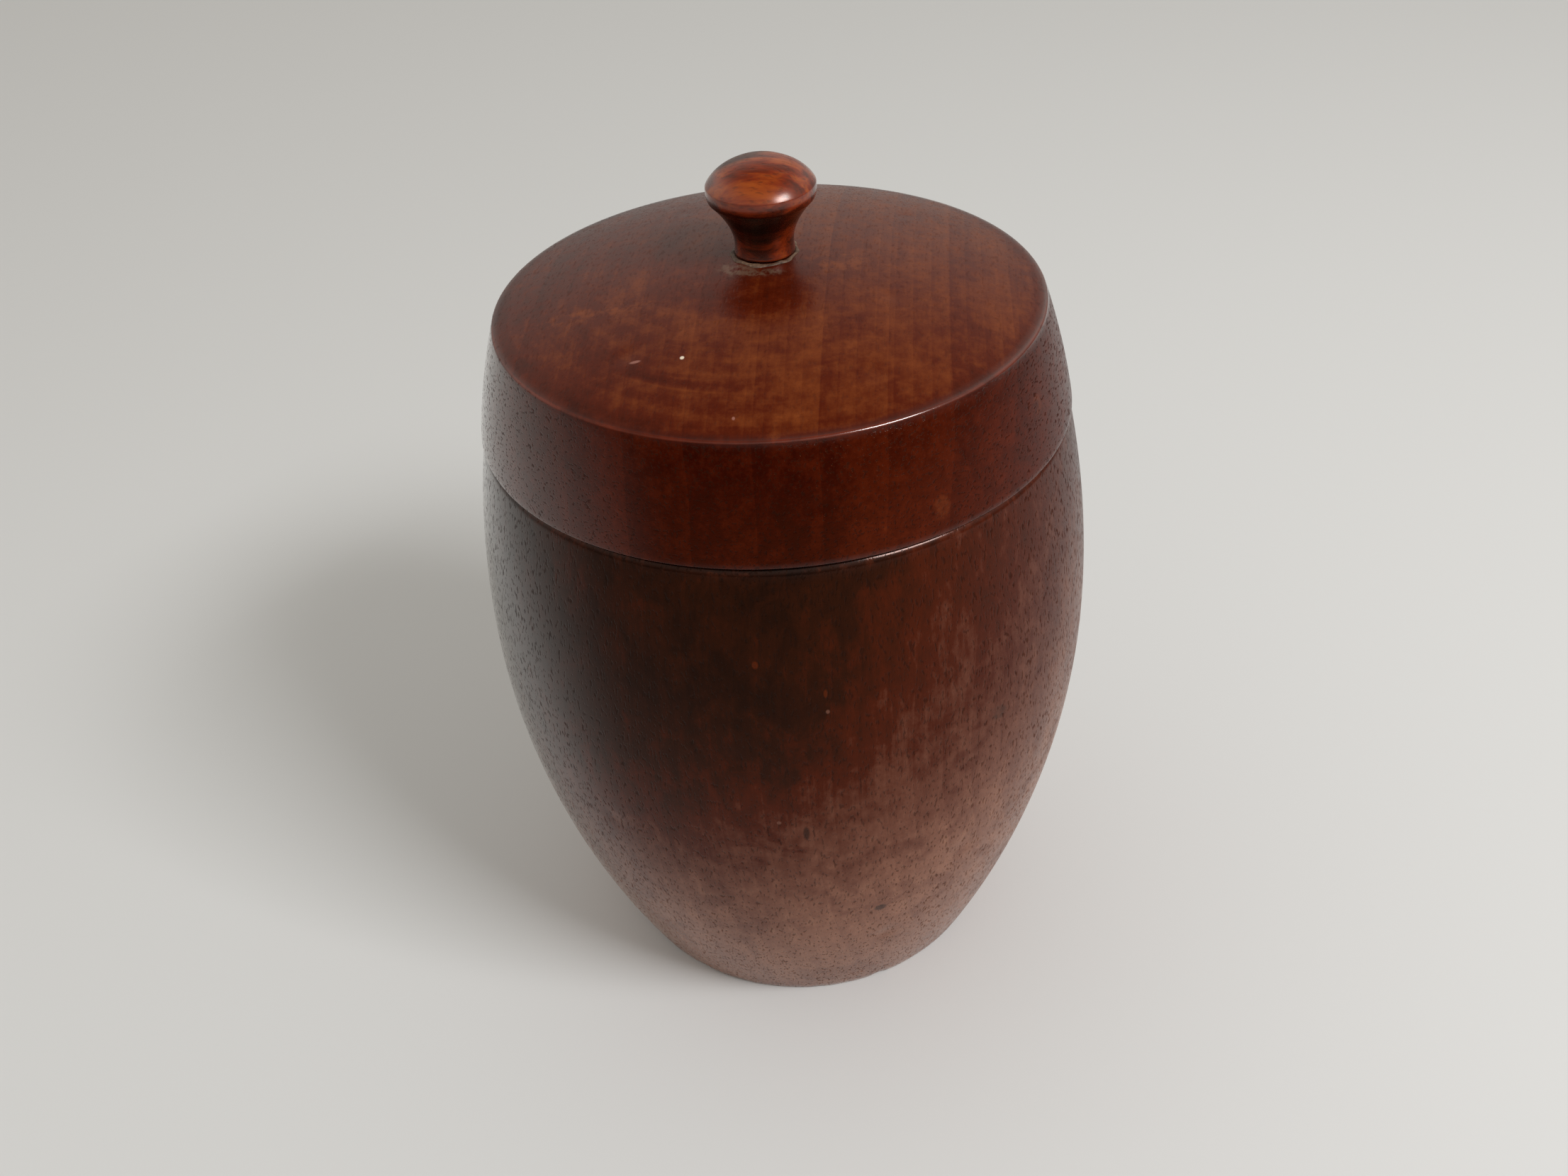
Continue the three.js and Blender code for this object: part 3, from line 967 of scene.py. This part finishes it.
# Its width and rise wander, it is widest at the front left, and its underside is pressed flat.
width_wander = wander(bead_turns, seed=41, slowest=2, fastest=11)[:, None] ** bead_unevenness
rise_wander = wander(bead_turns, seed=42, slowest=2, fastest=17)[:, None] ** bead_unevenness
bead_lobe = np.exp(-((np.degrees(bead_angle) - bead_lobe_angle) / bead_lobe_spread) ** 2)
bead_width = bead_least_width + bead_extra_width * width_wander + bead_lobe_width * bead_lobe
bead_rise = bead_least_rise + bead_extra_rise * rise_wander
bead_inner = knob_foot_radius - bead_overlap
bead_r = bead_inner + bead_width * 0.5 * (1 + np.cos(bead_round))
bead_base = lid_seat + dome_height(bead_r) - bead_sink
bead_z = bead_base + bead_rise * np.maximum(np.sin(bead_round), -bead_under)
bead_grid = np.stack([bead_r * np.cos(bead_angle), bead_r * np.sin(bead_angle), bead_z], -1)
bead_points = bead_grid.reshape(-1, 3) * millimetre
bead_index = np.arange(bead_turns * bead_steps).reshape(bead_turns, bead_steps)
bead_next = np.roll(bead_index, -1, axis=0)
bead_quads = np.stack([bead_index, bead_next, np.roll(bead_next, -1, 1), np.roll(bead_index, -1, 1)], -1)
bead = new_piece("dried_glue", bead_points.tolist(), bead_quads.reshape(-1, 4).tolist())

glue_relief = 0.00012
glue_shades = [(0.35, paint(46, 27, 19)), (0.58, paint(98, 72, 53)), (0.8, paint(156, 128, 98))]
glue_finish, tree, place, shader = new_finish("old_glue")
crumbs = cloud(tree, place, 0.0007, 4.0, 0.65)
dirt = cloud(tree, place, 0.0035, 2.0, 0.5)
connect(tree, shader, {
    "Base Color": shades(tree, weighted(tree, (crumbs, 0.6), (dirt, 0.5)), glue_shades),
    "Roughness": spread(tree, crumbs, 0.3, 0.7, 0.75, 0.5),
    "Normal": relief(tree, crumbs, glue_relief),
})
bead.data.materials.append(glue_finish)
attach(bead, "lid")
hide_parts("glue_bead")

# Table and light
# A plain pale table, one large soft window light from the upper right front, brighter in its
# middle, and a pale room.
table_reach = 9
floor = new_piece("floor", [
    (-table_reach, -table_reach, 0),
    (table_reach, -table_reach, 0),
    (table_reach, table_reach, 0),
    (-table_reach, table_reach, 0),
], [(0, 1, 2, 3)])
floor_finish, tree, place, shader = new_finish("pale_floor")
connect(tree, shader, {
    "Base Color": paint(221, 221, 220),
    "Roughness": 0.9,
    "Specular IOR Level": 0.1,
})
floor.data.materials.append(floor_finish)


def area_light(name, towards, distance, target, width, height, radiance, colour):
    """Rectangular light that faces a target from a direction. Its power is radiance times area
    times pi."""
    data = bpy.data.lights.new(name, "AREA")
    data.shape = "RECTANGLE"
    data.size = width
    data.size_y = height
    data.energy = radiance * width * height * np.pi
    data.color = colour
    lamp = bpy.data.objects.new(name, data)
    back = Vector(towards).normalized()
    facing_target = back.to_track_quat("Z", "Y").to_matrix().to_4x4()
    lamp.matrix_world = Matrix.Translation(Vector(target) + back * distance) @ facing_target
    bpy.context.scene.collection.objects.link(lamp)


to_window = (0.557, -0.467, 0.687)
lit_place = (0, 0, 0.11)
daylight = (0.98, 0.99, 1.0)
area_light(
    "window", to_window, distance=1.1, target=lit_place,
    width=0.4, height=0.22, radiance=20.5, colour=daylight,
)
area_light(
    "window_glow", to_window, distance=1.12, target=lit_place,
    width=0.46, height=0.36, radiance=5.2, colour=daylight,
)

# The room is brightest overhead and towards the left back.
room_colour = (1.0, 0.965, 0.9, 1.0)
world = bpy.data.worlds.new("room")
bpy.context.scene.world = world
world.use_nodes = True
tree = world.node_tree
tree.nodes.clear()
direction = add(tree, "TexCoord").outputs["Generated"]
x, y, z = add(tree, "SeparateXYZ", {0: direction}).outputs
left_back = spread(tree, weighted(tree, (y, 0.8), (x, -0.5)), -0.4, 0.9)
overhead = product(tree, spread(tree, z, 0.0, 0.55), spread(tree, z, 0.96, 0.64, 0.15, 1.0))
strength = weighted(tree, (overhead, 0.5), (left_back, 0.33), (1.0, 0.115))
background = add(tree, "Background", {"Color": room_colour, "Strength": strength})
add(tree, "OutputWorld", {"Surface": background.outputs[0]})

# The camera looks down at the front of the pot, turned a little on its own axis. Angles are in
# radians, and the frame's width and the focal length are in picture points.
camera_place = (0, -0.22536, 0.24602)
yaw = -0.0037
pitch = 0.6574
roll = -0.0712
frame_width = 2212
focal_length = 2100
camera_data = bpy.data.cameras.new("camera")
camera = bpy.data.objects.new("camera", camera_data)
bpy.context.scene.collection.objects.link(camera)
forward = Vector((np.sin(yaw) * np.cos(pitch), np.cos(yaw) * np.cos(pitch), -np.sin(pitch)))
right = Vector((np.cos(yaw), -np.sin(yaw), 0))
up = right.cross(forward)
rolled_right = np.cos(roll) * right + np.sin(roll) * up
rolled_up = -np.sin(roll) * right + np.cos(roll) * up
turning = Matrix((rolled_right, rolled_up, -forward)).transposed()
camera.matrix_world = Matrix.Translation(camera_place) @ turning.to_4x4()
camera_data.sensor_width = 36.0
camera_data.lens = camera_data.sensor_width * focal_length / frame_width
camera_data.clip_start = 0.01
camera_data.clip_end = 20
bpy.context.scene.camera = camera
bpy.context.scene.view_settings.view_transform = "Standard"
